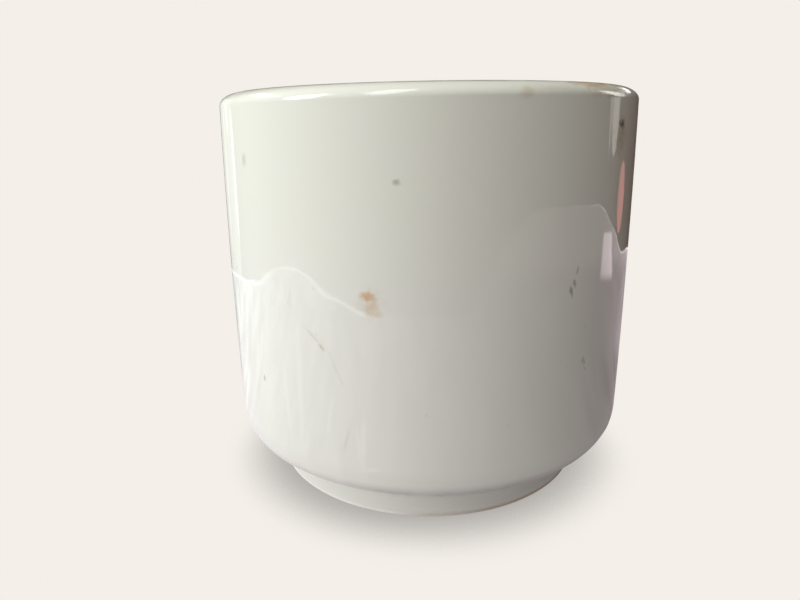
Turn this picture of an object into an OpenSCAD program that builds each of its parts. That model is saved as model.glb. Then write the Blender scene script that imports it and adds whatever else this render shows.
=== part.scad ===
// Mortar and pestle.
// A thick straight-sided porcelain mortar stands on a foot ring. A short pestle, a porcelain
// head on a turned wooden handle, leans inside it and stays wholly below the rim.
// Frame: millimetres, +Z up, origin on the mortar's axis in the plane that it stands on.

/* [Mortar outside] */
// Outside diameter at the rim
rim_d = 120; // [112:1:128]
// Overall height
mortar_h = 113; // [106:1:118]
// Width of the rim's rounded outer edge
lip_w = 6; // [4:0.1:6.4]
// Height of the rim's rounded outer edge
lip_h = 3.6; // [2.4:0.1:6]
// Outside diameter where the wall turns into the heel
waist_d = 120; // [114:0.5:122]
// Height at which the heel starts
heel_top = 21.7; // [18:0.1:28]
// How far the wall bulges out, halfway between rim and heel
wall_belly = 0.4; // [0:0.1:1]
// Squareness of the heel's curve: 2 is an ellipse, more is fuller
heel_power = 2.2; // [2:0.1:3]

/* [Foot ring] */
// Diameter of the foot ring at its standing edge
foot_d = 95.6; // [92:0.1:98]
// Diameter of the foot ring where it meets the heel
foot_top_d = 94.2; // [90:0.1:96]
// Height of the foot ring
foot_h = 9.3; // [7:0.1:11]
// Bevel at the standing edges
foot_bevel = 0.7; // [0.4:0.1:1.2]
// Radius of the hollow where the foot ring meets the heel
crease_round = 1.4; // [0.8:0.1:2]
// Width of the foot ring at its standing face, bevels included
foot_ring_w = 9; // [7:0.5:12]
// Depth of the recess inside the foot ring
recess_h = 4.5; // [3:0.1:5]

/* [Mortar inside] */
// Wall thickness at the rim
wall_t = 9; // [8.5:0.1:10]
// Radius of the rim's inner edge
inner_round = 2.4; // [1.5:0.1:2.5]
// Radius of the round bowl
bowl_r = 48; // [46:0.5:48]
// Height of the bowl's lowest point
bowl_floor = 13; // [11:0.5:15]

/* [Glaze] */
// Thickness of the glaze coat
glaze_t = 0.3; // [0.2:0.05:0.4]
// How far the glaze runs down inside the rim
glaze_lap = 5; // [4:0.5:6]
// Height of the bare band above the standing face
bare_band = 1.4; // [1.3:0.1:2.5]

/* [Pestle] */
// Length from the grinding tip to the handle's end
pestle_len = 109; // [98:1:109]
// Radius of the round grinding head
head_r = 17; // [15:0.5:18]
// Radius of the head's neck and of the handle where they meet
neck_r = 9; // [8.5:0.1:10]
// Distance from the tip to the joint between head and handle
head_len = 42; // [40:1:46]
// Radius of the handle at its waist
waist_r = 7.2; // [6.5:0.1:8]
// Radius of the handle's round end
end_r = 9; // [8.5:0.1:9.5]
// Radius of the tenon on the handle
tenon_r = 5.8; // [5:0.1:6]
// Length of the tenon
tenon_len = 18; // [14:1:20]
// Thickness of the cement round the tenon
cement_t = 0.3; // [0.2:0.05:0.5]
// Gap between the resting pestle and the mortar
rest_gap = 0.3; // [0.3:0.05:0.5]

/* [Hidden] */
$fn = 96;
LIP_STEPS = 12;
WALL_STEPS = 8;
HEEL_STEPS = 20;
BOWL_STEPS = 28;
CREASE_STEPS = 5;
TURN_STEPS = 12;
BALL_STEPS = 15;

// Straight stretch of the head's neck below the joint
COLLAR_H = 8;
// From the joint up to the handle's waist
WAIST_RISE = 20;
// Slope of the recess's side, as a share of its height
RECESS_DRAFT = 1 / 4;
// The lip's curve starts this far round, in degrees, so that it doesn't repeat the wall's last point
LIP_START = 6;

BISCUIT = [0.90, 0.88, 0.83];
GLAZE = [0.86, 0.87, 0.84];
CEMENT = [0.75, 0.72, 0.66];
WOOD = [0.62, 0.42, 0.24];

rim_r = rim_d / 2;
waist_out_r = waist_d / 2;
foot_r = foot_d / 2;
foot_top_r = foot_top_d / 2;
wall_top = mortar_h - lip_h;
lap_end = mortar_h - glaze_lap;
recess_r = foot_r - foot_ring_w;
recess_flare = recess_h * RECESS_DRAFT;

// The bowl is a sphere, and a cone tangent to it opens out to the rim.
bowl_z = bowl_floor + bowl_r;
mouth_r = rim_r - wall_t;
mouth_rise = mortar_h - bowl_z;
draft = acos(bowl_r / norm([mouth_r, mouth_rise])) - atan2(mouth_rise, mouth_r);

// The head rests at the bowl's lowest point and the handle's end leans on the cone.
head_drop = bowl_r - head_r - rest_gap;
centre_gap = pestle_len - head_r - end_r;
lean_side = bowl_r - end_r - rest_gap - head_drop * sin(draft);
lean = draft + asin(lean_side / centre_gap);

// Heights along the pestle, from its tip
bell_top = head_len - COLLAR_H;
waist_h = head_len + WAIST_RISE;
end_h = pestle_len - end_r;
socket_h = head_len - tenon_len - cement_t;

// Points are [radius, height] in the half-plane that each outline turns through.

function mix(a, b, t) = a + (b - a) * t;

function reversed(points) = [for (i = [len(points) - 1:-1:0]) points[i]];

function arc(centre, r, from, to, steps) = [
    for (i = [0:steps])
        let (a = mix(from, to, i / steps))
        centre + r * [cos(a), sin(a)]
];

// Radius of the foot ring's side at a height
function foot_side(z, inset) = mix(foot_r, foot_top_r, (z - foot_bevel) / (foot_h - foot_bevel)) - inset;

// Hollow between the foot ring and the heel
function crease(inset) = arc(
    [foot_top_r + crease_round, foot_h - crease_round], crease_round + inset, 180, 90, CREASE_STEPS
);

// Heel, along a superellipse that starts level at the crease and ends upright at the wall
function heel(inset) = [
    for (i = [HEEL_STEPS - 1:-1:1])
        let (a = 90 * i / HEEL_STEPS)
        [
            foot_top_r - inset + (waist_out_r - foot_top_r) * pow(cos(a), 2 / heel_power),
            heel_top - (heel_top - foot_h - inset) * pow(sin(a), 2 / heel_power)
        ]
];

// Wall from the heel up to the rim, along a shallow parabola that bulges out
function wall(inset) = [
    for (i = [0:WALL_STEPS])
        let (t = i / WALL_STEPS)
        [
            mix(waist_out_r, rim_r, t) + 4 * wall_belly * t * (1 - t) - inset,
            mix(heel_top, wall_top, t)
        ]
];

// Rounded outer edge of the rim, along a quarter of an ellipse
function lip(inset) = [
    for (i = [0:LIP_STEPS])
        let (a = mix(LIP_START, 90, i / LIP_STEPS))
        [rim_r - lip_w + (lip_w - inset) * cos(a), wall_top + (lip_h - inset) * sin(a)]
];

// Glazed outside, from the bare band up to the middle of the rim
function coat_outside(inset) = concat(
    [[foot_side(bare_band, inset), bare_band]],
    crease(inset),
    heel(inset),
    wall(inset),
    lip(inset)
);

// Radius of the bowl's cone at a height
function cone_side(z, inset) = (bowl_r - inset + (z - bowl_z) * sin(draft)) / cos(draft);

// Glazed inside, from the middle of the rim down to the end of the lap
function coat_inside(inset) =
    let (edge_z = mortar_h - inner_round)
    let (edge_x = (bowl_r + inner_round - glaze_t + (edge_z - bowl_z) * sin(draft)) / cos(draft))
    concat(
        arc([edge_x, edge_z], inner_round - glaze_t + inset, 90, 180 - draft, LIP_STEPS),
        [[cone_side(lap_end, inset), lap_end]]
    );

// Roof and side of the recess under the base, down to the end of its glaze
function recess_wall(inset) = [
    [0, recess_h - inset],
    [recess_r - recess_flare - inset, recess_h - inset],
    [recess_r - RECESS_DRAFT * bare_band - inset, bare_band]
];

// Mortar, bare of its glaze
module mortar_body() {
    color(BISCUIT) rotate_extrude() polygon(concat(
        [[foot_r - glaze_t - foot_bevel, 0], [foot_r - glaze_t, foot_bevel]],
        coat_outside(glaze_t),
        coat_inside(0),
        arc([0, bowl_z], bowl_r, -draft, -90, BOWL_STEPS),
        recess_wall(0),
        [[recess_r, foot_bevel], [recess_r + foot_bevel, 0]]
    ));
}

// Glaze from the foot ring's bare band up the wall, over the rim and a little way inside
module outer_glaze() {
    color(GLAZE) rotate_extrude() polygon(concat(
        coat_outside(0),
        coat_inside(glaze_t),
        reversed(coat_inside(0)),
        reversed(coat_outside(glaze_t))
    ));
}

// Glaze inside the foot ring
module recess_glaze() {
    color(GLAZE) rotate_extrude() polygon(concat(recess_wall(glaze_t), reversed(recess_wall(0))));
}

// Smooth turned stretch between two radii
function turned(r0, r1, h0, h1) = [
    for (i = [0:TURN_STEPS])
        let (t = i / TURN_STEPS)
        [mix(r0, r1, (1 - cos(180 * t)) / 2), mix(h0, h1, t)]
];

// Glazed stretch of the head, from its widest place up to the joint with the handle
function neck(inset) = concat(
    turned(head_r - inset, neck_r - inset, head_r, bell_top),
    [[neck_r - inset, head_len]]
);

// Puts the pestle's own frame, with its tip at the origin, where it leans in the mortar
module stowed() {
    translate([0, 0, bowl_z - head_drop])
        rotate([0, lean, 0])
        translate([0, 0, -head_r])
        children();
}

module pestle_head() {
    color(BISCUIT) stowed() rotate_extrude() polygon(concat(
        arc([0, head_r], head_r, -90, 0, BALL_STEPS),
        neck(glaze_t),
        [[tenon_r + cement_t, head_len], [tenon_r + cement_t, socket_h], [0, socket_h]]
    ));
}

module neck_glaze() {
    color(GLAZE) stowed() rotate_extrude() polygon(concat(neck(0), reversed(neck(glaze_t))));
}

// Cement that fills the socket round the tenon
module socket_cement() {
    color(CEMENT) stowed() difference() {
        translate([0, 0, socket_h]) cylinder(h = tenon_len + cement_t, r = tenon_r + cement_t);
        translate([0, 0, socket_h + cement_t]) cylinder(h = 2 * tenon_len, r = tenon_r);
    }
}

// Turned wooden handle, with the tenon that goes into the head
module handle() {
    color(WOOD) stowed() rotate_extrude() polygon(concat(
        [[0, head_len - tenon_len], [tenon_r, head_len - tenon_len], [tenon_r, head_len]],
        turned(neck_r, waist_r, head_len, waist_h),
        turned(waist_r, end_r, waist_h, end_h),
        arc([0, end_h], end_r, 0, 90, BALL_STEPS)
    ));
}

mortar_body();
outer_glaze();
recess_glaze();
pestle_head();
neck_glaze();
socket_cement();
handle();
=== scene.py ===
import math

import bpy
from mathutils import Matrix, Vector, noise


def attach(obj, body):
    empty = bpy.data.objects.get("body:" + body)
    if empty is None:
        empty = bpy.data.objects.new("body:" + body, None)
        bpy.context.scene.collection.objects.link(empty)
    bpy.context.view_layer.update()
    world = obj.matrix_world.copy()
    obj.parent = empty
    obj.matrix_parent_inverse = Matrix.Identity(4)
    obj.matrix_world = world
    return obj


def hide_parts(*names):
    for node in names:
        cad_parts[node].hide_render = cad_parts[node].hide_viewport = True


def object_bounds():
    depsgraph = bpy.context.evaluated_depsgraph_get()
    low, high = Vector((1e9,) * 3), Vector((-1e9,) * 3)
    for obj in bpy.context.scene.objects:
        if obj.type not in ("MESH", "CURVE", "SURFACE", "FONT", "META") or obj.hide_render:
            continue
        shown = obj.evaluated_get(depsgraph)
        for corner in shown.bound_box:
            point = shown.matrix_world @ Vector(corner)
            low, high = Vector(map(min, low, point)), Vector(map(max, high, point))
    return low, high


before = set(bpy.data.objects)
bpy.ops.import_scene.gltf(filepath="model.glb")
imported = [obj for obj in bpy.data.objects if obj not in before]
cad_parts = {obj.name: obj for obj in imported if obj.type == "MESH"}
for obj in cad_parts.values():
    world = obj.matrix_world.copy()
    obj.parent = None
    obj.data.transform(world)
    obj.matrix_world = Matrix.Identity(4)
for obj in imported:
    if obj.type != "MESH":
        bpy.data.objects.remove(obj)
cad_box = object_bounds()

# Mortar and pestle. Metres, +Z up, the mortar's axis is Z and its foot stands on z = 0.
# Azimuth is measured round that axis: 0 faces -Y, towards the camera, and +90 faces +X.

MM = 0.001

# ------------------------------------------------------------------ driving dimensions
RIM_R = 60.0 * MM
HEIGHT = cad_box[1].z
LIP_W = 6.0 * MM
LIP_H = 3.6 * MM
WAIST_R = 60.0 * MM
HEEL_TOP = 21.7 * MM
WALL_BELLY = 0.4 * MM
HEEL_POWER = 2.2
FOOT_R = 47.8 * MM
FOOT_TOP_R = 47.1 * MM
FOOT_H = 9.3 * MM
FOOT_BEVEL = 0.7 * MM
FOOT_RING_W = 9.0 * MM
CREASE_ROUND = 3.0 * MM
CREASE_END = 105            # degrees on the hollow's circle where the heel takes over
RECESS_H = 4.5 * MM
WALL_T = 9.0 * MM
INNER_ROUND = 2.4 * MM
BOWL_R = 48.0 * MM
BOWL_FLOOR = 13.0 * MM
GLAZE_T = 0.3 * MM
GLAZE_LAP = 5.0 * MM
BARE_BAND = 1.4 * MM
GLAZE_ROLL = 0.9 * MM

PESTLE_LEN = 109.0 * MM
HEAD_R = 17.0 * MM
NECK_R = 9.0 * MM
HEAD_LEN = 42.0 * MM
WAIST_HANDLE_R = 7.2 * MM
END_R = 9.0 * MM
TENON_R = 5.8 * MM
TENON_LEN = 18.0 * MM
CEMENT_T = 0.3 * MM
REST_GAP = 0.3 * MM
COLLAR_H = 8.0 * MM         # straight collar at the top of the head
WAIST_RISE = 20.0 * MM      # from the head's end up to the handle's waist
TENON_CHAMFER = 0.5 * MM
HANDLE_CHAMFER = 0.3 * MM   # round the handle's lower end
GROOVE_DEPTH, GROOVE_WIDTH, GROOVE_STEP = 0.45 * MM, 0.35 * MM, 0.2 * MM

# ------------------------------------------------------------------ derived dimensions
WALL_TOP = HEIGHT - LIP_H
LAP_END = HEIGHT - GLAZE_LAP
RECESS_R = FOOT_R - FOOT_RING_W
RECESS_FLARE = RECESS_H / 4
RECESS_ROUND = 0.8 * MM
BOWL_Z = BOWL_FLOOR + BOWL_R
MOUTH_R = RIM_R - WALL_T
MOUTH_RISE = HEIGHT - BOWL_Z
DRAFT = math.acos(BOWL_R / math.hypot(MOUTH_R, MOUTH_RISE)) - math.atan2(MOUTH_RISE, MOUTH_R)
HEAD_DROP = BOWL_R - HEAD_R - REST_GAP
LEAN = DRAFT + math.asin(
    (BOWL_R - END_R - REST_GAP - HEAD_DROP * math.sin(DRAFT)) / (PESTLE_LEN - HEAD_R - END_R)
)
STOWED = (
    Matrix.Translation((0, 0, BOWL_Z - HEAD_DROP))
    @ Matrix.Rotation(LEAN, 4, "Y")
    @ Matrix.Translation((0, 0, -HEAD_R))
)

SEGMENTS = 384
PESTLE_SEGMENTS = 128
RING_STEP = 0.8 * MM
FOOT_RINGS = [z * MM for z in (2.2, 3.0, 3.8, 4.6)]     # heights of rings on the foot's side


# ------------------------------------------------------------------ outlines, as (radius, height)
def mix(a, b, t):
    return a + (b - a) * t


def smooth(low, high, value):
    """0 below low, 1 above high, and a smooth step between."""
    t = min(max((value - low) / (high - low), 0.0), 1.0)
    return t * t * (3 - 2 * t)


def arc(centre, r, start, end, steps):
    """Points on a circle between two angles in degrees."""
    points = []
    for i in range(steps + 1):
        a = math.radians(mix(start, end, i / steps))
        points.append((centre[0] + r * math.cos(a), centre[1] + r * math.sin(a)))
    return points


def foot_side(z, inset):
    return mix(FOOT_R, FOOT_TOP_R, (z - FOOT_BEVEL) / (FOOT_H - FOOT_BEVEL)) - inset


def heel_height(r):
    across = (r - FOOT_TOP_R) / (WAIST_R - FOOT_TOP_R)
    down = (1 - across ** HEEL_POWER) ** (1 / HEEL_POWER)
    return HEEL_TOP - (HEEL_TOP - FOOT_H) * down


def crease_centre():
    """Middle of the round hollow between foot and heel, which ends on the heel's curve."""
    middle = foot_side(FOOT_H - CREASE_ROUND, 0.0) + CREASE_ROUND
    end = math.radians(CREASE_END)
    return middle, heel_height(middle + CREASE_ROUND * math.cos(end)) - CREASE_ROUND * math.sin(end)


def crease(inset):
    return arc(crease_centre(), CREASE_ROUND + inset, 180, CREASE_END, 14)


def heel(inset, steps=40):
    points = []
    start = crease(inset)[-1][0] + 0.5 * MM
    for i in range(steps - 2, 0, -1):
        a = math.radians(90 * i / steps)
        across = math.cos(a) ** (2 / HEEL_POWER)
        down = math.sin(a) ** (2 / HEEL_POWER)
        points.append((
            FOOT_TOP_R - inset + (WAIST_R - FOOT_TOP_R) * across,
            HEEL_TOP - (HEEL_TOP - FOOT_H - inset) * down,
        ))
    return [p for p in points if p[0] > start]


def wall(inset, steps=80):
    points = []
    for i in range(steps + 1):
        t = i / steps
        points.append((
            mix(WAIST_R, RIM_R, t) + 4 * WALL_BELLY * t * (1 - t) - inset,
            mix(HEEL_TOP, WALL_TOP, t),
        ))
    return points


def lip(inset, steps=24):
    points = []
    for i in range(1, steps + 1):
        a = math.radians(90 * i / steps)
        across = (LIP_W - inset) * math.cos(a)
        points.append((RIM_R - LIP_W + across, WALL_TOP + (LIP_H - inset) * math.sin(a)))
    return points


def coat_outside(inset):
    """Under or on the glaze, from the bare band up to the middle of the rim."""
    band = [(foot_side(BARE_BAND, inset), BARE_BAND)]
    side = [(foot_side(z, inset), z) for z in FOOT_RINGS]
    return band + side + crease(inset) + heel(inset) + wall(inset) + lip(inset)


def cone_side(z, inset):
    return (BOWL_R - inset + (z - BOWL_Z) * math.sin(DRAFT)) / math.cos(DRAFT)


def coat_inside(inset):
    """From the middle of the rim down to the end of the glaze's lap."""
    edge_z = HEIGHT - INNER_ROUND
    edge_x = cone_side(edge_z, GLAZE_T - INNER_ROUND)
    edge = arc((edge_x, edge_z), INNER_ROUND - GLAZE_T + inset, 90, 180 - math.degrees(DRAFT), 12)
    steps = 6
    down = [mix(edge[-1][1], LAP_END, (i + 1) / steps) for i in range(steps)]
    return edge + [(cone_side(z, inset), z) for z in down]


def recess_wall(inset):
    """Roof and side of the recess under the base, down to the end of its glaze."""
    roof_r = RECESS_R - RECESS_FLARE - inset
    roof_z = RECESS_H - inset
    steps = 24
    roof = [(roof_r * i / steps, roof_z) for i in range(steps)]
    side_r = RECESS_R - RECESS_FLARE * BARE_BAND / RECESS_H - inset
    corner_r = roof_r - RECESS_ROUND
    corner = arc((corner_r, roof_z - RECESS_ROUND), RECESS_ROUND, 90, 14, 6)
    return [p for p in roof if p[0] < corner_r] + corner + [(side_r, BARE_BAND)]


def rolled(skin, bed):
    """The skin's points, drawn in to the bed at both ends as a rounded roll of glaze."""
    lengths = [0.0]
    for a, b in zip(skin, skin[1:]):
        lengths.append(lengths[-1] + math.dist(a, b))
    points = []
    for on, under, s in zip(skin, bed, lengths):
        left = min(s, lengths[-1] - s) / GLAZE_ROLL
        raised = 1.0 if left >= 1 else math.sqrt(max(0.0, 1 - (1 - left) ** 2))
        points.append((mix(under[0], on[0], raised), mix(under[1], on[1], raised)))
    return points


def thinned(points):
    """Every third point and the last one, for a face that its neighbour covers."""
    return points[:-1:3] + points[-1:]


def refined(points, step=RING_STEP):
    """The same outline with long straight stretches split up."""
    out = [points[0]]
    for a, b in zip(points, points[1:]):
        n = max(1, math.ceil(math.dist(a, b) / step))
        out += [(mix(a[0], b[0], i / n), mix(a[1], b[1], i / n)) for i in range(1, n + 1)]
    return out


# ------------------------------------------------------------------ hand-made unevenness
RIM_SAG = 0.2 * MM          # the rim is this much lower on the side that RIM_SAG_AZ names
RIM_SAG_AZ = math.radians(-80)
OVAL = 0.25 * MM            # how far the wall is out of round
UNEVEN = 0.07 * MM          # slow swell and dip of the wall
RING_DEPTH = 0.006 * MM     # faint turning rings on the wall
RING_PITCH = 8.5 * MM
RUN_TOP, RUN_FOOT = 34 * MM, 10.5 * MM
RUNS = [                    # glaze runs: azimuth in degrees, width and height of the ridge in mm
    (-39, 1.6, 0.10),
    (-31, 1.1, 0.07),
    (-22, 1.8, 0.12),
    (-15, 1.2, 0.08),
    (64, 1.5, 0.09),
    (118, 1.8, 0.10),
    (141, 1.2, 0.08),
    (-112, 1.6, 0.10),
    (-160, 1.3, 0.08),
]


def outside_share(r, z):
    """1 on the mortar's outer surface, 0 inside it, with a blend over the rim."""
    if z > BOWL_Z:
        inner = cone_side(z, 0.0)
        return smooth(inner + 2 * MM, inner + 7 * MM, r)
    return 1.0 if z > BARE_BAND and r > RECESS_R + 3 * MM else 0.0


def wall_shift(azimuth, z):
    """How far the outer wall stands out (+) or in (-) of a true turned shape."""
    above_foot = smooth(FOOT_H, HEEL_TOP, z)
    oval = -OVAL * (0.5 + 0.5 * math.cos(2 * azimuth + 0.9)) * above_foot
    wave = noise.noise(Vector((math.sin(azimuth) * 1.3, math.cos(azimuth) * 1.3, z * 25)))
    uneven = -UNEVEN * (0.5 + wave) * above_foot
    ring = RING_DEPTH * (math.sin(2 * math.pi * (z / RING_PITCH + azimuth / 9)) - 1) * above_foot
    return oval + uneven + ring


def run_shift(azimuth, z):
    """Ridges left by glaze that ran down the heel."""
    total = 0.0
    for degrees, width, rise in RUNS:
        wander = 0.012 * math.sin(z * 400 + degrees)
        off = (azimuth - math.radians(degrees) + wander) * WAIST_R / (width * MM)
        if abs(off) < 3:
            along = smooth(RUN_FOOT, RUN_FOOT + 5 * MM, z) * (1 - smooth(RUN_TOP - 14 * MM, RUN_TOP, z))
            total += rise * MM * math.exp(-off * off) * along
    return total


def rim_drop(azimuth, z):
    share = smooth(HEIGHT * 0.55, HEIGHT, z)
    return -RIM_SAG * share * (0.5 + 0.5 * math.cos(azimuth - RIM_SAG_AZ))


def mortar_warp(r, z, azimuth):
    """Moves a point of the mortar from a true turned shape to the hand-made one."""
    share = outside_share(r, z)
    shift = share * (wall_shift(azimuth, z) + run_shift(azimuth, z)) if share else 0.0
    return r + shift, z + rim_drop(azimuth, z)


# ------------------------------------------------------------------ turned meshes
def turn(name, outline, segments, warp=None, place=None, closed=False, sharp=40):
    """Turns an outline round the Z axis into a closed mesh.

    An open outline starts and ends on the axis, and a closed one is a ring's section.
    """
    verts, rings = [], []
    for r, z in outline:
        if r < 1e-7:
            rings.append([len(verts)])
            verts.append((0.0, 0.0, z))
            continue
        ring = []
        for i in range(segments):
            a = 2 * math.pi * (i / segments)
            azimuth = a if a <= math.pi else a - 2 * math.pi
            wr, wz = warp(r, z, azimuth) if warp else (r, z)
            ring.append(len(verts))
            verts.append((wr * math.sin(a), -wr * math.cos(a), wz))
        rings.append(ring)
    faces = []
    pairs = list(zip(rings, rings[1:]))
    if closed:
        pairs.append((rings[-1], rings[0]))
    for low, high in pairs:
        for i in range(segments):
            j = (i + 1) % segments
            if len(low) == 1 and len(high) == 1:
                break
            if len(low) == 1:
                faces.append((low[0], high[j], high[i]))
            elif len(high) == 1:
                faces.append((low[i], low[j], high[0]))
            else:
                faces.append((low[i], low[j], high[j], high[i]))
    mesh = bpy.data.meshes.new(name)
    mesh.from_pydata(verts, [], faces)
    if place is not None:
        mesh.transform(place)
    mesh.validate()
    mesh.polygons.foreach_set("use_smooth", [True] * len(mesh.polygons))
    mesh.set_sharp_from_angle(angle=math.radians(sharp))
    obj = bpy.data.objects.new(name, mesh)
    bpy.context.scene.collection.objects.link(obj)
    return obj


def stand_for(obj, node, body, material):
    """Makes a piece stand for a CAD node on its body, with its finish."""
    obj.data.materials.clear()
    obj.data.materials.append(material)
    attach(obj, body)
    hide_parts(node)
    return obj


# ------------------------------------------------------------------ node helpers
class Nodes:
    """A node tree, with short calls for the nodes that it uses."""

    def __init__(self, tree):
        self.tree = tree
        tree.nodes.clear()

    def link(self, source, target):
        self.tree.links.new(source, target)

    def node(self, kind, **props):
        made = self.tree.nodes.new(kind)
        for key, value in props.items():
            setattr(made, key, value)
        return made

    def put(self, socket, value):
        """Links a socket into another, or sets its value. None leaves it as it is."""
        if isinstance(value, bpy.types.NodeSocket):
            self.link(value, socket)
        elif value is not None:
            is_rgb = socket.type == "RGBA" and len(value) == 3
            socket.default_value = (*value, 1.0) if is_rgb else value

    def math(self, operation, a, b=None, c=None, clamp=False):
        made = self.node("ShaderNodeMath", operation=operation, use_clamp=clamp)
        for socket, value in zip(made.inputs, (a, b, c)):
            self.put(socket, value)
        return made.outputs[0]

    def vector(self, operation, a, b=None, scale=None):
        made = self.node("ShaderNodeVectorMath", operation=operation)
        self.put(made.inputs[0], a)
        self.put(made.inputs[1], b)
        if scale is not None:
            self.put(made.inputs["Scale"], scale)
        return made.outputs["Value" if operation in ("LENGTH", "DOT_PRODUCT") else "Vector"]

    def split(self, vector):
        made = self.node("ShaderNodeSeparateXYZ")
        self.put(made.inputs[0], vector)
        return made.outputs

    def join(self, x, y, z):
        made = self.node("ShaderNodeCombineXYZ")
        for socket, value in zip(made.inputs, (x, y, z)):
            self.put(socket, value)
        return made.outputs[0]

    def ramp(self, value, low, high, to_low=0.0, to_high=1.0, kind="LINEAR"):
        """From to_low to to_high as value goes from low to high, and level beyond them."""
        made = self.node("ShaderNodeMapRange", interpolation_type=kind)
        for socket, v in zip(made.inputs, (value, low, high, to_low, to_high)):
            self.put(socket, v)
        return made.outputs[0]

    def step(self, value, low, high, to_low=0.0, to_high=1.0):
        """The same with a smooth start and end."""
        return self.ramp(value, low, high, to_low, to_high, "SMOOTHSTEP")

    def sector(self, angle, start, end, to_low=0.0, to_high=1.0):
        """A smooth step between two azimuths in degrees. The angle is in radians."""
        return self.step(angle, math.radians(start), math.radians(end), to_low, to_high)

    def noise(self, vector, scale, detail=3.0, rough=0.5, colour=False):
        made = self.node("ShaderNodeTexNoise")
        for key, value in (("Vector", vector), ("Scale", scale), ("Detail", detail), ("Roughness", rough)):
            self.put(made.inputs[key], value)
        return made.outputs["Color" if colour else "Fac"]

    def mix(self, share, a, b, blend="MIX"):
        """Colour a where share is 0 and colour b where it is 1."""
        made = self.node("ShaderNodeMix", data_type="RGBA", blend_type=blend)
        for index, value in ((0, share), (6, a), (7, b)):
            self.put(made.inputs[index], value)
        return made.outputs[2]

    def bump(self, height, distance, strength=1.0):
        made = self.node("ShaderNodeBump")
        made.inputs["Distance"].default_value = distance
        made.inputs["Strength"].default_value = strength
        self.put(made.inputs["Height"], height)
        return made.outputs[0]

    def glow(self, kind, colour, strength=1.0):
        made = self.node(kind)
        self.put(made.inputs["Color"], colour)
        self.put(made.inputs["Strength"], strength)
        return made.outputs[0]

    def either(self, share, a, b):
        """Shader a where share is 0 and shader b where it is 1."""
        made = self.node("ShaderNodeMixShader")
        for socket, value in zip(made.inputs, (share, a, b)):
            self.link(value, socket)
        return made.outputs[0]


class Shader(Nodes):
    """A material's nodes."""

    def __init__(self, name):
        self.material = bpy.data.materials.new(name)
        self.material.use_nodes = True
        super().__init__(self.material.node_tree)
        self.out = self.node("ShaderNodeOutputMaterial").inputs["Surface"]
        self.place = self.node("ShaderNodeTexCoord").outputs["Object"]

    def azimuth(self):
        """The angle round the mortar's axis in radians, from 0 in front to pi behind."""
        x, y, _ = self.split(self.place)
        return self.math("ARCTAN2", x, self.math("MULTIPLY", y, -1.0))

    def finish(self, colour, rough, normal, ior):
        bsdf = self.node("ShaderNodeBsdfPrincipled")
        self.put(bsdf.inputs["Base Color"], colour)
        self.put(bsdf.inputs["Roughness"], rough)
        self.put(bsdf.inputs["Normal"], normal)
        bsdf.inputs["IOR"].default_value = ior
        self.link(bsdf.outputs["BSDF"], self.out)
        return self.material


def round_the_axis(s):
    """Surface place in metres: distance round the mortar's axis from azimuth 0, and height."""
    return s.join(s.math("MULTIPLY", s.azimuth(), WAIST_R), s.split(s.place)[2], 0.0)


def spot(s, where, ragged, azimuth, height, wide, tall, turned, strength):
    """Mask of one blemish, an ellipse with a ragged soft edge. Degrees and millimetres."""
    centre = (math.radians(azimuth) * WAIST_R, height * MM, 0.0)
    off = s.vector("SUBTRACT", where, centre)
    turn_node = s.node("ShaderNodeVectorRotate", rotation_type="Z_AXIS")
    s.put(turn_node.inputs["Vector"], off)
    turn_node.inputs["Angle"].default_value = math.radians(turned)
    scaled = s.vector("MULTIPLY", turn_node.outputs[0], (1 / (wide * MM), 1 / (tall * MM), 0.0))
    reach = s.math("ADD", s.vector("LENGTH", scaled), ragged)
    return s.step(reach, 1.2, 0.1, 0.0, strength)


def spots(s, where, ragged, rows):
    """Mask of several blemishes."""
    mask = None
    for row in rows:
        one = spot(s, where, ragged, *row)
        mask = one if mask is None else s.math("MAXIMUM", mask, one)
    return mask


# ------------------------------------------------------------------ materials
# Blemishes: azimuth, height, half width, half height, turn, strength.
IRON_SPECKS = [
    (-6.2, 91.8, 1.0, 0.8, 0, 0.40),
    (52.6, 103.2, 1.9, 1.2, 0, 0.85),
    (-46.8, 38.3, 0.6, 1.1, 0, 0.4),
    (35.6, 64.2, 0.75, 2.0, -14, 0.55),
    (36.5, 66.2, 0.6, 1.5, -20, 0.45),
    (37.2, 69.4, 0.5, 1.2, 15, 0.35),
    (41.4, 45.4, 0.5, 1.1, 20, 0.35),
    (96.0, 71.0, 1.0, 0.9, 0, 0.6),
    (131.0, 44.0, 0.7, 1.2, 20, 0.5),
    (167.0, 92.0, 0.9, 0.8, 0, 0.6),
    (-101.0, 58.0, 0.9, 0.8, 0, 0.6),
    (-142.0, 83.0, 0.6, 1.6, -25, 0.5),
    (-170.0, 33.0, 0.9, 0.8, 0, 0.5),
]
RUST_STAINS = [
    (-13.1, 65.6, 2.3, 1.5, 20, 0.75),
    (-11.9, 63.4, 1.9, 2.9, 38, 0.38),
    (-10.6, 61.4, 1.5, 2.0, 20, 0.26),
    (42.3, 112.2, 9.0, 1.0, 0, 0.55),
    (62.0, 92.0, 13.0, 26.0, 0, 0.13),
    (152.0, 60.0, 2.2, 1.6, 10, 0.6),
    (-118.0, 100.0, 1.8, 3.0, 20, 0.4),
]
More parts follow.
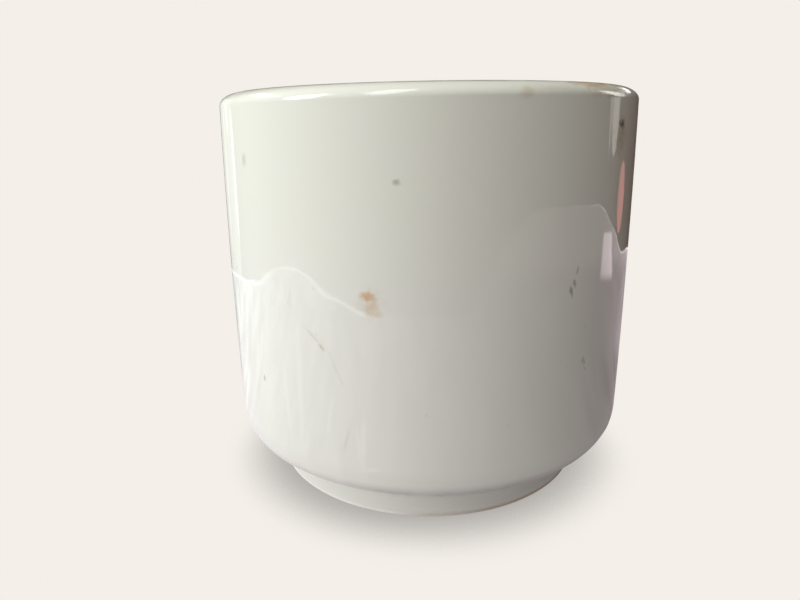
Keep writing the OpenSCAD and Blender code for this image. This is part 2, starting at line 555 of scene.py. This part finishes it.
TAN_STAINS = [
    (-12.4, 64.0, 4.2, 4.4, 30, 0.2),
    (21.3, 110.1, 2.4, 1.7, 0, 0.4),
    (30.0, 111.0, 14.0, 1.2, 0, 0.22),
    (46.0, 111.0, 14.0, 2.0, 0, 0.45),
    (-25.3, 52.1, 0.75, 1.7, -40, 0.6),
    (-27.6, 54.5, 0.7, 3.8, -52, 0.26),
    (-21.5, 46.8, 0.5, 7.5, -24, 0.14),
    (-34.0, 63.0, 0.9, 3.2, 12, 0.16),
    (-19.4, 28.5, 0.6, 5.0, 16, 0.16),
    (-49.1, 95.8, 1.4, 1.9, 10, 0.46),
    (72.0, 55.0, 1.4, 4.8, 10, 0.3),
    (110.0, 88.0, 2.8, 1.9, 0, 0.35),
    (-88.0, 77.0, 1.8, 3.8, 20, 0.3),
    (178.0, 70.0, 3.0, 2.2, 0, 0.3),
    (52.4, 100.4, 3.8, 5.2, 8, 0.55),
]
PITS = [
    (42.4, 44.4, 0.75, 0.95, 0, 1.0),
    (42.8, 42.6, 0.6, 0.6, 0, 0.8),
    (78.0, 86.0, 0.7, 0.7, 0, 0.8),
    (-61.0, 66.0, 0.6, 0.6, 0, 0.7),
    (104.0, 38.0, 0.7, 0.7, 0, 0.8),
    (-131.0, 96.0, 0.7, 0.6, 0, 0.8),
    (160.0, 48.0, 0.6, 0.8, 0, 0.8),
]
PALE_RUNS = [               # pale streaks where glaze has run
    (-15.2, 28.0, 1.0, 8.5, 3, 0.5),
    (-16.4, 27.0, 0.6, 6.0, -4, 0.35),
    (-13.4, 20.6, 3.2, 0.9, -8, 0.45),
    (-32.5, 40.0, 1.3, 19.0, 2, 0.4),
    (-37.5, 36.0, 1.1, 15.0, -3, 0.3),
    (-24.0, 33.0, 0.8, 9.0, 12, 0.25),
    (66.0, 30.0, 1.2, 12.0, 3, 0.4),
    (120.0, 34.0, 1.4, 15.0, -3, 0.4),
    (-115.0, 30.0, 1.2, 13.0, 4, 0.4),
    (-158.0, 33.0, 1.2, 14.0, -4, 0.4),
]
GLAZE_WHITE = (0.797, 0.808, 0.749)
GLAZE_GREEN = (0.772, 0.802, 0.731)
GLAZE_COOL = (0.797, 0.810, 0.786)
WARM_LIGHT_TINT = (0.995, 1.0, 0.968)      # painted tint of the light: multiplies the glaze high on the wall, which leaves the lower wall cooler
CROWN_LINE_SHADE = (0.30, 0.28, 0.26)
PALE = (0.90, 0.92, 0.89)
RUST = (0.64, 0.35, 0.14)
IRON_AND_SHADE = (0.075, 0.065, 0.045)
TAN = (0.50, 0.42, 0.27)
CROWN = HEIGHT - 0.15 * MM          # above this the rim carries a painted dark line of shade
GLAZE_IOR = 1.52
GLAZE_PEEL = 0.25 * MM


def glaze_colour(s):
    """White with soft green and cool patches and a few tiny dark flecks."""
    drift = s.noise(s.place, 14.0, 2.0)
    pool = s.noise(s.place, 60.0, 4.0, 0.6)
    base = s.mix(s.step(drift, 0.35, 0.65), GLAZE_WHITE, GLAZE_GREEN)
    base = s.mix(s.step(pool, 0.45, 0.8, 0.0, 0.35), base, GLAZE_COOL)
    cells = s.node("ShaderNodeTexVoronoi", feature="F1")
    s.put(cells.inputs["Vector"], s.place)
    cells.inputs["Scale"].default_value = 150.0
    lot = s.node("ShaderNodeSeparateColor")
    s.put(lot.inputs[0], cells.outputs["Color"])
    rare = s.step(lot.outputs[0], 0.93, 0.94)
    fleck = s.math("MULTIPLY", s.step(cells.outputs["Distance"], 0.09, 0.03), rare)
    return s.mix(s.math("MULTIPLY", fleck, 0.09), base, IRON_AND_SHADE)


def aged_and_shaded(s, base, rough, hollow, smear):
    """The mortar's stains, specks and pits, a painted warm tint of the light high on the wall, and painted
    shade along the top of the rim and in the crease above the foot, over a glaze's values.
    """
    x, _, z = s.split(s.place)
    where = round_the_axis(s)
    ragged = s.math("MULTIPLY", s.math("SUBTRACT", s.noise(s.place, 520.0, 5.0, 0.7), 0.5), 1.9)
    soft_edge = s.math("MULTIPLY", ragged, 0.45)
    # Painted light tint: the glaze is made warmer high on the wall.
    base = s.mix(s.step(z, 58 * MM, 84 * MM), base, WARM_LIGHT_TINT, "MULTIPLY")

    # Painted shade: a thin patchy dark line along the top of the rim, weaker on the right side.
    crown = s.math("MULTIPLY", s.step(z, CROWN - 0.5 * MM, CROWN, 0.0, 0.7), s.step(smear, 0.3, 0.6))
    crown = s.math("MULTIPLY", crown, s.step(x, 15 * MM, 40 * MM, 1.0, 0.3))
    base = s.mix(crown, base, CROWN_LINE_SHADE)
    # Painted shade in the crease above the foot: the glaze is darkened in patches from about 5.5 to 17 mm
    # high.
    crease_shade_band = s.math("MULTIPLY", s.step(z, 5.5 * MM, 9.8 * MM), s.step(z, 17.0 * MM, 12.0 * MM))
    crease_shade = s.step(s.noise(s.place, 75.0, 3.0, 0.6), 0.25, 0.6, 0.28, 0.46)
    base = s.mix(s.math("MULTIPLY", crease_shade_band, crease_shade), base, IRON_AND_SHADE)

    base = s.mix(spots(s, where, soft_edge, PALE_RUNS), base, PALE)
    base = s.mix(spots(s, where, ragged, TAN_STAINS), base, TAN)
    base = s.mix(spots(s, where, ragged, RUST_STAINS), base, RUST)
    base = s.mix(spots(s, where, ragged, IRON_SPECKS), base, IRON_AND_SHADE)
    pits = spots(s, where, ragged, PITS)
    base = s.mix(s.math("MULTIPLY", pits, 0.35), base, TAN)

    patchy = s.step(s.noise(s.place, 130.0, 4.0, 0.65), 0.44, 0.58, 0.0, 0.16)
    rough = s.math("MULTIPLY_ADD", patchy, s.step(z, WALL_TOP - 1 * MM, WALL_TOP + 1 * MM), rough)
    rough = s.math("MULTIPLY_ADD", pits, 0.2, rough)
    brushed = s.noise(s.vector("MULTIPLY", where, (1.0, 0.15, 0.0)), 1400.0, 3.0, 0.6)
    on_lip = s.step(z, WALL_TOP - 1 * MM, WALL_TOP + 1.5 * MM, 0.0, 0.05)
    hollow = s.math("MULTIPLY_ADD", brushed, on_lip, hollow)
    return base, rough, s.math("SUBTRACT", hollow, pits)


def fired_glaze(name, marked_and_shaded):
    """White porcelain glaze with a faint peel. With the flag set it carries the mortar's marks, its
    painted shade and a painted tint of the light.
    """
    s = Shader(name)
    base = glaze_colour(s)
    smear = s.noise(s.vector("MULTIPLY", s.place, (1.0, 1.0, 0.35)), 38.0, 3.0, 0.6)
    rough = s.step(smear, 0.5, 0.8, 0.03, 0.08)
    peel = s.step(s.split(s.place)[2], WALL_TOP - 2 * MM, WALL_TOP + 1 * MM, 0.012, 0.10)
    hollow = s.math("MULTIPLY", s.noise(s.place, 420.0, 2.0), peel)
    if marked_and_shaded:
        base, rough, hollow = aged_and_shaded(s, base, rough, hollow, smear)
    return s.finish(base, rough, s.bump(hollow, GLAZE_PEEL), GLAZE_IOR)


CLAY_CLEAN = (0.76, 0.73, 0.66)
CLAY_WARM = (0.66, 0.58, 0.46)
CLAY_GROUND = (0.46, 0.44, 0.40)
FOOT_BROWN = (0.52, 0.38, 0.24)
FOOT_EDGE_HIGHLIGHT = (0.93, 0.94, 0.91)
CLAY_GRAIN = 0.06 * MM
BOWL_WEAR, HEAD_WEAR = 52 * MM, 17 * MM     # how far from the tip the grinding wear reaches
CLAY_IOR = 1.5


def bare_porcelain(name, tip, reach):
    """Unglazed porcelain. It is ground smooth and grey near tip, and clean away from it.

    Low on the mortar's foot it is brown on the right, and on the left its bottom edge is paled as a
    painted highlight.
    """
    s = Shader(name)
    patches = s.noise(s.place, 70.0, 5.0, 0.62)
    base = s.mix(s.step(patches, 0.4, 0.75), CLAY_CLEAN, CLAY_WARM)
    near = s.vector("LENGTH", s.vector("SUBTRACT", s.place, tip))
    spread = s.math("ADD", near, s.math("MULTIPLY", patches, reach * 0.5))
    worn = s.step(spread, reach * 1.25, reach * 0.45)
    base = s.mix(s.math("MULTIPLY", worn, 0.75), base, CLAY_GROUND)
    x, y, z = s.split(s.place)
    out = s.vector("LENGTH", s.join(x, y, 0.0))
    turned_marks = s.join(s.math("MULTIPLY", out, 3.0), s.math("MULTIPLY", z, 3.0), 0.0)
    rubbed = s.noise(turned_marks, 620.0, 3.0, 0.7)
    base = s.mix(s.step(rubbed, 0.5, 0.75, 0.0, 0.18), base, CLAY_GROUND)
    grain = s.noise(s.place, 2600.0, 3.0, 0.7)
    base = s.mix(s.step(grain, 0.35, 0.8, 0.0, 0.12), base, CLAY_WARM)
    brown = s.math("MULTIPLY", s.step(z, 2.2 * MM, 0.4 * MM), s.step(x, 2 * MM, 30 * MM, 0.03, 0.42))
    base = s.mix(brown, base, FOOT_BROWN)
    # Painted highlight: the foot's bottom edge is made pale on the left.
    pale = s.math("MULTIPLY", s.step(z, 2.4 * MM, 0.8 * MM), s.step(x, 12 * MM, -15 * MM, 0.0, 0.85))
    base = s.mix(pale, base, FOOT_EDGE_HIGHLIGHT)
    height = s.math("ADD", s.math("MULTIPLY", grain, 0.5), s.math("MULTIPLY", rubbed, 0.8))
    return s.finish(base, s.step(worn, 0.0, 1.0, 0.78, 0.5), s.bump(height, CLAY_GRAIN), CLAY_IOR)


CEMENT_DARK = (0.58, 0.55, 0.48)
CEMENT_PALE = (0.72, 0.69, 0.62)


def socket_cement():
    """Grainy plaster-like cement, dry and matt."""
    s = Shader("cement")
    grain = s.noise(s.place, 1800.0, 4.0, 0.7)
    base = s.mix(s.step(grain, 0.3, 0.7), CEMENT_DARK, CEMENT_PALE)
    return s.finish(base, 0.9, s.bump(grain, 0.08 * MM), 1.5)


WOOD_PALE = (0.46, 0.255, 0.115)
WOOD_DARK = (0.215, 0.098, 0.038)
WOOD_PORE = (0.10, 0.045, 0.02)
WOOD_WORN = (0.56, 0.36, 0.19)
WOOD_DIRT = (0.11, 0.065, 0.035)
HEART_OFFSET = 13.0 * MM    # from the handle's axis to the middle of the tree
RINGS_PER_M = 620.0


def handle_wood():
    """Oiled fruitwood, with its grain along the pestle and handling wear on the swell."""
    s = Shader("handle_wood")
    back = STOWED.inverted()
    axes = [s.vector("DOT_PRODUCT", s.place, tuple(back[i][:3])) for i in range(3)]
    u, v, w = (s.math("ADD", axis, back[i][3]) for i, axis in enumerate(axes))
    along = s.join(u, v, s.math("MULTIPLY", w, 0.09))
    bend = s.noise(along, 60.0, 2.0, colour=True)
    bent = s.vector("ADD", along, s.vector("SCALE", bend, scale=0.006))
    bent_u, bent_v, _ = s.split(bent)
    from_heart = s.vector("LENGTH", s.join(s.math("ADD", bent_u, HEART_OFFSET), bent_v, 0.0))
    growth = s.math("FRACT", s.math("MULTIPLY", from_heart, RINGS_PER_M))
    late = s.math("MULTIPLY", s.step(growth, 0.1, 0.85), s.step(growth, 1.0, 0.88))
    fibre = s.noise(along, 1500.0, 4.0, 0.7)
    pores = s.noise(s.join(u, v, s.math("MULTIPLY", w, 0.12)), 3400.0, 1.0)
    patch = s.noise(s.place, 90.0, 3.0, 0.6)
    base = s.mix(s.math("MULTIPLY", late, 0.6), WOOD_PALE, WOOD_DARK)
    base = s.mix(s.step(fibre, 0.45, 0.8, 0.0, 0.5), base, WOOD_DARK)
    base = s.mix(s.step(pores, 0.68, 0.75, 0.0, 0.6), base, WOOD_PORE)
    handled = s.math("MULTIPLY", s.step(w, 72 * MM, 92 * MM, 0.0, 0.35), s.step(patch, 0.4, 0.65))
    base = s.mix(handled, base, WOOD_WORN)
    base = s.mix(s.step(w, HEAD_LEN + 5 * MM, HEAD_LEN, 0.0, 0.55), base, WOOD_DIRT)
    normal = s.bump(s.math("SUBTRACT", fibre, pores), 0.05 * MM, 0.8)
    return s.finish(base, s.step(patch, 0.3, 0.7, 0.34, 0.52), normal, 1.48)


# ------------------------------------------------------------------ the mortar
def make_mortar():
    skin_path = coat_outside(0.0) + coat_inside(GLAZE_T)
    bed_path = coat_outside(GLAZE_T) + coat_inside(0.0)
    section = rolled(skin_path, bed_path) + thinned(bed_path)[-2:0:-1]
    coat = turn("glazed_wall", section, SEGMENTS, mortar_warp, closed=True, sharp=50)
    stand_for(coat, "outer_glaze", "mortar", fired_glaze("white_glaze_aged_and_shaded", True))

    bowl = arc((0.0, BOWL_Z), BOWL_R, -math.degrees(DRAFT), -90, 90)
    cone = [(cone_side(z, 0), z) for z in (mix(LAP_END, BOWL_Z, t / 30) for t in range(1, 30))]
    foot = [
        (RECESS_R, FOOT_BEVEL),
        (RECESS_R + FOOT_BEVEL, 0.0),
        (FOOT_R - GLAZE_T - FOOT_BEVEL, 0.0),
        (FOOT_R - GLAZE_T, FOOT_BEVEL),
    ]
    under, over = recess_wall(0.0), recess_wall(GLAZE_T)
    outline = under + refined(foot) + thinned(bed_path) + cone + bowl
    outline[0] = (0.0, outline[0][1])
    outline[-1] = (0.0, outline[-1][1])
    body = turn("porcelain_body", outline, SEGMENTS, mortar_warp, sharp=50)
    clay = bare_porcelain("bare_porcelain", (0.0, 0.0, BOWL_FLOOR), BOWL_WEAR)
    stand_for(body, "mortar_body", "mortar", clay)

    pool = turn("base_coat", over + under[::-1], SEGMENTS, sharp=50)
    stand_for(pool, "recess_glaze", "mortar", fired_glaze("white_glaze_base", False))


# ------------------------------------------------------------------ the pestle
def turned(r0, r1, h0, h1, steps=28):
    """A smooth swell from one radius and height to another."""
    points = []
    for i in range(steps + 1):
        t = i / steps
        points.append((mix(r0, r1, (1 - math.cos(math.pi * t)) / 2), mix(h0, h1, t)))
    return points


def neck(inset):
    """The head's bell from its widest ring up, then its straight collar with an eased edge."""
    r = NECK_R - inset
    straight = [(r, HEAD_LEN - low * MM) for low in (5.0, 2.0, 0.6)]
    edge = [(r - 0.15 * MM, HEAD_LEN - 0.15 * MM), (r - 0.4 * MM, HEAD_LEN)]
    return turned(HEAD_R - inset, r, HEAD_R, HEAD_LEN - COLLAR_H) + straight + edge


def grooved(points, heights):
    """Cuts round grooves into a turned outline at the given heights."""
    out = []
    for r, z in refined(points, GROOVE_STEP):
        cut = sum(math.exp(-((z - h) / GROOVE_WIDTH) ** 2) for h in heights)
        out.append((r - GROOVE_DEPTH * min(cut, 1.0), z))
    return out


def make_pestle():
    socket_h = HEAD_LEN - TENON_LEN - CEMENT_T
    socket_r = TENON_R + CEMENT_T
    face = arc((0.0, HEAD_R), HEAD_R, -90, 0, 60)
    socket = [(socket_r, HEAD_LEN), (socket_r, socket_h), (0.0, socket_h)]
    outline = [(0.0, face[0][1])] + face[1:] + neck(GLAZE_T)[1:] + refined(socket, 2 * MM)
    head = turn("grinding_head", outline, PESTLE_SEGMENTS, place=STOWED)
    tip = tuple(STOWED @ Vector((0, 0, 0)))
    clay = bare_porcelain("head_porcelain", tip, HEAD_WEAR)
    stand_for(head, "pestle_head", "pestle", clay)

    section = rolled(neck(0.0), neck(GLAZE_T)) + neck(GLAZE_T)[-2:0:-1]
    coat = turn("neck_coat", section, PESTLE_SEGMENTS, place=STOWED, closed=True, sharp=50)
    stand_for(coat, "neck_glaze", "pestle", fired_glaze("white_glaze_neck", False))

    tenon_h = HEAD_LEN - TENON_LEN
    tenon = [
        (0.0, tenon_h),
        (TENON_R - TENON_CHAMFER, tenon_h),
        (TENON_R, tenon_h + TENON_CHAMFER),
        (TENON_R, HEAD_LEN),
        (NECK_R - HANDLE_CHAMFER, HEAD_LEN),
    ]
    waist_h = HEAD_LEN + WAIST_RISE
    end_h = PESTLE_LEN - END_R
    grip = turned(NECK_R, WAIST_HANDLE_R, HEAD_LEN + HANDLE_CHAMFER, waist_h)
    grip += turned(WAIST_HANDLE_R, END_R, waist_h, end_h)[1:]
    grip += arc((0.0, end_h), END_R, 0, 90, 40)[1:]
    grooves = (HEAD_LEN + 4.5 * MM, HEAD_LEN + 7 * MM, end_h - 5 * MM)
    outline = refined(tenon, 2 * MM) + grooved(grip, grooves)
    outline[-1] = (0.0, outline[-1][1])
    handle = turn("turned_handle", outline, PESTLE_SEGMENTS, place=STOWED)
    stand_for(handle, "handle", "pestle", handle_wood())

    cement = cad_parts["socket_cement"].data.materials
    cement.clear()
    cement.append(socket_cement())


# ------------------------------------------------------------------ camera
CAMERA_BACK = 198.4 * MM
CAMERA_HIGH = 103.7 * MM
CAMERA_DOWN = math.radians(15.48)
CAMERA_LEFT = math.radians(2.49)
CAMERA_ROLL = math.radians(-0.79)
LENS = 28.42


def make_camera():
    data = bpy.data.cameras.new("camera")
    data.lens = LENS
    data.sensor_width = 36.0
    data.clip_start = 0.01
    data.clip_end = 50.0
    camera = bpy.data.objects.new("camera", data)
    camera.location = (0.0, -CAMERA_BACK, CAMERA_HIGH)
    aim = Matrix.Rotation(CAMERA_LEFT, 3, "Z") @ Matrix.Rotation(math.pi / 2 - CAMERA_DOWN, 3, "X")
    camera.rotation_euler = (aim @ Matrix.Rotation(CAMERA_ROLL, 3, "Z")).to_euler()
    bpy.context.scene.collection.objects.link(camera)
    bpy.context.scene.camera = camera


# ------------------------------------------------------------------ stage and light
BACKDROP = (0.905, 0.863, 0.815)
FLOOR_R, FLOOR_SIDES = 4.0, 96
CLOTH_DIM, CLOTH_BRIGHT = 0.19, 1.32
CLOTH_LEFT = (0.95, 0.985, 1.0)
CLOTH_RIGHT = (1.13, 0.96, 1.01)
HEM_REACH, HEM_BULGE, HEM_WAVE = 0.312, 0.07, 0.02
HEM_STEPS = [               # azimuths that the hem's reach changes between, and by how many metres
    (-52, -24, -0.055),
    (15, 62, 0.50),
    (96, 128, -0.36),
    (140, 178, -0.085),
]
HEM_W = 15.0 * MM
HEM_GLOW = 1.8
PANE_ALONG, PANE_ACROSS = 0.41, -0.03
PANE_GLOW = 1.45


def hem_reach(s, angle):
    """How far out the cloth's wavy hem lies, in metres."""
    bulge = s.math("MULTIPLY", s.sector(angle, -100, -74), s.sector(angle, -50, -70))
    hem = s.math("MULTIPLY_ADD", bulge, HEM_BULGE, HEM_REACH)
    for start, end, change in HEM_STEPS:
        hem = s.math("ADD", hem, s.sector(angle, start, end, 0.0, change))
    wave = s.math("SUBTRACT", s.noise(s.place, 14.0, 2.0), 0.5)
    return s.math("ADD", hem, s.math("MULTIPLY", wave, HEM_WAVE))


def cloth_shade(s, x, angle, out):
    """How bright the folded cloth is: bright on the left, and dim on the right and behind."""
    from_foot = s.step(out, 0.055, 0.12)
    rising = s.join(0.0, 0.0, s.math("MULTIPLY", out, 1.2))
    round_place = s.vector("ADD", s.vector("NORMALIZE", s.place), rising)
    fold = s.step(s.noise(round_place, 11.0, 2.0, 0.6), 0.32, 0.68, -0.28, 0.28)
    folds = s.math("MULTIPLY_ADD", fold, from_foot, 1.0)
    front = s.math("MINIMUM", s.sector(angle, -150, -108), s.sector(angle, 180, 150))
    behind = s.math("MULTIPLY", s.math("SUBTRACT", 1.0, front), s.math("MULTIPLY", from_foot, 0.65))
    level = s.step(x, 0.16, -0.30, CLOTH_DIM, CLOTH_BRIGHT)
    level = s.math("MULTIPLY", level, s.math("SUBTRACT", 1.0, behind))
    level = s.math("MULTIPLY", level, s.step(out, 0.24, 0.10, 1.0, 1.10))
    level = s.math("MULTIPLY", level, folds)
    far_right = s.math("MULTIPLY", s.step(out, 0.30, 0.42), s.sector(angle, 20, 50, 0.0, 0.30))
    back_right = s.math("MULTIPLY", s.step(out, 0.10, 0.16), s.sector(angle, 92, 118, 0.0, 0.22))
    level = s.math("ADD", s.math("ADD", level, far_right), back_right)
    # Painted shadow and light on the cloth round the foot: its glow is cut on the right and raised on the
    # left.
    foot_shadow_and_light = s.step(x, 0.03, -0.035, 0.60, 1.10)
    away = s.step(out, 0.052, 0.085)
    near_foot_shadow_and_light = s.math("MULTIPLY_ADD", away, s.math("SUBTRACT", 1.0, foot_shadow_and_light), foot_shadow_and_light)
    return s.math("MULTIPLY", level, near_foot_shadow_and_light)


def cloth(s):
    """The glow of a cloth with a bright hem and a lit pane. Past the hem it is clear."""
    x, y, _ = s.split(s.place)
    angle = s.azimuth()
    out = s.vector("LENGTH", s.place)
    inside = s.math("SUBTRACT", hem_reach(s, angle), out)
    sides = s.math("ADD", s.sector(angle, -12, -34), s.sector(angle, 70, 98), clamp=True)
    hem_line = s.math("MULTIPLY", s.step(inside, HEM_W, HEM_W * 0.3), sides)
    hem_glow = s.math("MULTIPLY", s.sector(s.math("ABSOLUTE", angle), 140, 85, 0.3, 1.0), HEM_GLOW)
    level = s.math("ADD", cloth_shade(s, x, angle, out), s.math("MULTIPLY", hem_line, hem_glow))
    along = s.math("ADD", s.math("MULTIPLY", x, 0.93), s.math("MULTIPLY", y, 0.36))
    across = s.math("SUBTRACT", s.math("MULTIPLY", y, 0.93), s.math("MULTIPLY", x, 0.36))
    off_along = s.math("ABSOLUTE", s.math("SUBTRACT", along, PANE_ALONG))
    off_across = s.math("ABSOLUTE", s.math("SUBTRACT", across, PANE_ACROSS))
    pane = s.math("MULTIPLY", s.step(off_along, 0.115, 0.085), s.step(off_across, 0.045, 0.030))
    level = s.math("ADD", level, s.math("MULTIPLY", pane, PANE_GLOW))
    tone = s.mix(s.step(x, 0.16, -0.30), CLOTH_RIGHT, CLOTH_LEFT)
    lit = s.glow("ShaderNodeEmission", tone, level)
    clear = s.node("ShaderNodeBsdfTransparent").outputs[0]
    return s.either(s.step(inside, 0.005, -0.004), lit, clear)


def make_floor():
    """A pale floor in the backdrop's tone, darkened near the object by a painted shadow, and clear from
    below.

    In the glaze it shows as the cloth.
    """
    ring = [around(360 * i / FLOOR_SIDES, FLOOR_R, 0.0) for i in range(FLOOR_SIDES)]
    mesh = bpy.data.meshes.new("floor")
    mesh.from_pydata(ring, [], [tuple(range(FLOOR_SIDES))])
    floor = bpy.data.objects.new("floor", mesh)
    bpy.context.scene.collection.objects.link(floor)
    s = Shader("floor")
    # Painted shadow: the floor's glow is dimmed where the mortar is near.
    near = s.node("ShaderNodeAmbientOcclusion", samples=8)
    near.inputs["Distance"].default_value = 0.020
    shade = s.step(near.outputs["AO"], 0.12, 0.84, 0.45, 1.0)
    plain = s.glow("ShaderNodeEmission", BACKDROP, shade)
    to_camera = s.node("ShaderNodeLightPath").outputs["Is Camera Ray"]
    above = s.either(to_camera, cloth(s), plain)
    from_below = s.node("ShaderNodeNewGeometry").outputs["Backfacing"]
    clear = s.node("ShaderNodeBsdfTransparent").outputs[0]
    s.link(s.either(from_below, above, clear), s.out)
    mesh.materials.append(s.material)


KEY_AZ, KEY_UP = -72, 14
KEY_COLOUR = (0.985, 1.0, 0.985)
KEY_EDGE_COLOUR = (1.05, 0.91, 0.80)
KEY_STRENGTH = 1.605
KEY_IN_GLAZE = 0.5
ROOM_COLOUR = (1.0, 0.80, 0.62)
ROOM_STRENGTH = 0.065
LAMP_DISTANCE = 0.45
CREAM = (1.0, 0.97, 0.88)
DEEP_CREAM = (1.0, 0.95, 0.86)
LIP_CREAM = (1.0, 0.98, 0.90)
LIP_EDGE_CREAM = (1.0, 0.98, 0.92)
PINK = (1.0, 0.33, 0.29)
TOP_SIZE, TOP_POWER = 0.25, 2.5
TOP_PLACE = (-0.14, -0.03, HEIGHT + 0.68)
LAMP_TARGET = Vector((0.0, 0.0, 90 * MM))


def toward(azimuth, up):
    """Unit vector at an azimuth and a height angle, in degrees."""
    a, e = math.radians(azimuth), math.radians(up)
    return (math.sin(a) * math.cos(e), -math.cos(a) * math.cos(e), math.sin(e))


def make_world():
    """The backdrop's tone to the camera. To all else, a wide soft light in a dim warm room."""
    world = bpy.data.worlds.new("studio")
    bpy.context.scene.world = world
    world.use_nodes = True
    s = Nodes(world.node_tree)
    looking = s.node("ShaderNodeTexCoord").outputs["Generated"]
    facing = s.vector("DOT_PRODUCT", looking, toward(KEY_AZ, KEY_UP))
    path = s.node("ShaderNodeLightPath")
    dimmed = s.ramp(path.outputs["Is Glossy Ray"], 0.0, 1.0, 1.0, KEY_IN_GLAZE)
    level = s.math("MULTIPLY", s.ramp(facing, 0.0, 1.0, 0.0, KEY_STRENGTH), dimmed)
    colour = s.mix(s.ramp(facing, 0.0, 0.55), KEY_EDGE_COLOUR, KEY_COLOUR)
    light = s.node("ShaderNodeAddShader")
    s.link(s.glow("ShaderNodeBackground", ROOM_COLOUR, ROOM_STRENGTH), light.inputs[0])
    s.link(s.glow("ShaderNodeBackground", colour, level), light.inputs[1])
    plain = s.glow("ShaderNodeBackground", BACKDROP)
    both = s.either(path.outputs["Is Camera Ray"], light.outputs[0], plain)
    s.link(both, s.node("ShaderNodeOutputWorld").inputs["Surface"])


def around(azimuth, distance, height):
    """A point at a distance from the mortar's axis and a height above the floor."""
    x, y, _ = toward(azimuth, 0)
    return (x * distance, y * distance, height)


def beside(azimuth, height):
    """A lamp's place beside the mortar."""
    return around(azimuth, LAMP_DISTANCE, height)


def over_rim(azimuth, up):
    """A lamp's place, seen from the middle of the rim at a height angle."""
    return Vector(toward(azimuth, up)) * LAMP_DISTANCE + Vector((0.0, 0.0, HEIGHT))


def glint(name, place, wide, tall, glow, colour=(1.0, 1.0, 1.0), roll=0.0):
    """A soft oval lamp that only shows as a reflection in the glaze. glow is its radiance."""
    data = bpy.data.lights.new(name, "AREA")
    data.shape = "ELLIPSE"
    data.size = wide
    data.size_y = tall
    data.energy = glow * math.pi * wide * tall * math.pi / 4
    data.color = colour
    lamp = bpy.data.objects.new(name, data)
    lamp.location = place
    aim = (LAMP_TARGET - Vector(place)).to_track_quat("-Z", "Y").to_matrix()
    lamp.rotation_euler = (aim @ Matrix.Rotation(math.radians(roll), 3, "Z")).to_euler()
    lamp.visible_camera = False
    lamp.visible_diffuse = False
    bpy.context.scene.collection.objects.link(lamp)


def top_light():
    """A soft lamp overhead that lights the rim and the bowl. It isn't seen in the glaze."""
    data = bpy.data.lights.new("top", "AREA")
    data.size = TOP_SIZE
    data.energy = TOP_POWER
    lamp = bpy.data.objects.new("top", data)
    lamp.location = TOP_PLACE
    lamp.visible_camera = False
    lamp.visible_glossy = False
    bpy.context.scene.collection.objects.link(lamp)


def make_lights():
    top_light()
    glint("window_left", beside(-134, 0.06), 0.24, 0.38, 0.46)
    glint("streak_left", beside(-136, 0.065), 0.030, 0.15, 0.25, roll=-3)
    glint("streak_left_inner", beside(-120.5, 0.065), 0.026, 0.12, 0.9)
    glint("streak_left_top", beside(-130, 0.135), 0.024, 0.08, 0.6, roll=25)
    glint("streak_right", beside(107, 0.12), 0.055, 0.08, 1.2, CREAM)
    glint("streak_right_edge", beside(102, 0.12), 0.010, 0.08, 1.3, DEEP_CREAM)
    glint("blush_right", beside(120, 0.040), 0.066, 0.066, 1.15, PINK, roll=-12)
    glint("lip_left", over_rim(-66, 27), 0.15, 0.32, 7.0)
    glint("lip_front", over_rim(-26, 54), 0.12, 0.40, 5.0)
    glint("lip_far_left", over_rim(-110, 34), 0.30, 0.07, 3.0)
    glint("lip_right", over_rim(112, 18), 0.11, 0.20, 4.2, LIP_CREAM)
    glint("lip_right_edge", over_rim(139, 16), 0.15, 0.03, 3.6, LIP_EDGE_CREAM)


make_camera()
make_mortar()
make_pestle()
make_floor()
make_world()
make_lights()
bpy.context.scene.view_settings.view_transform = "Standard"
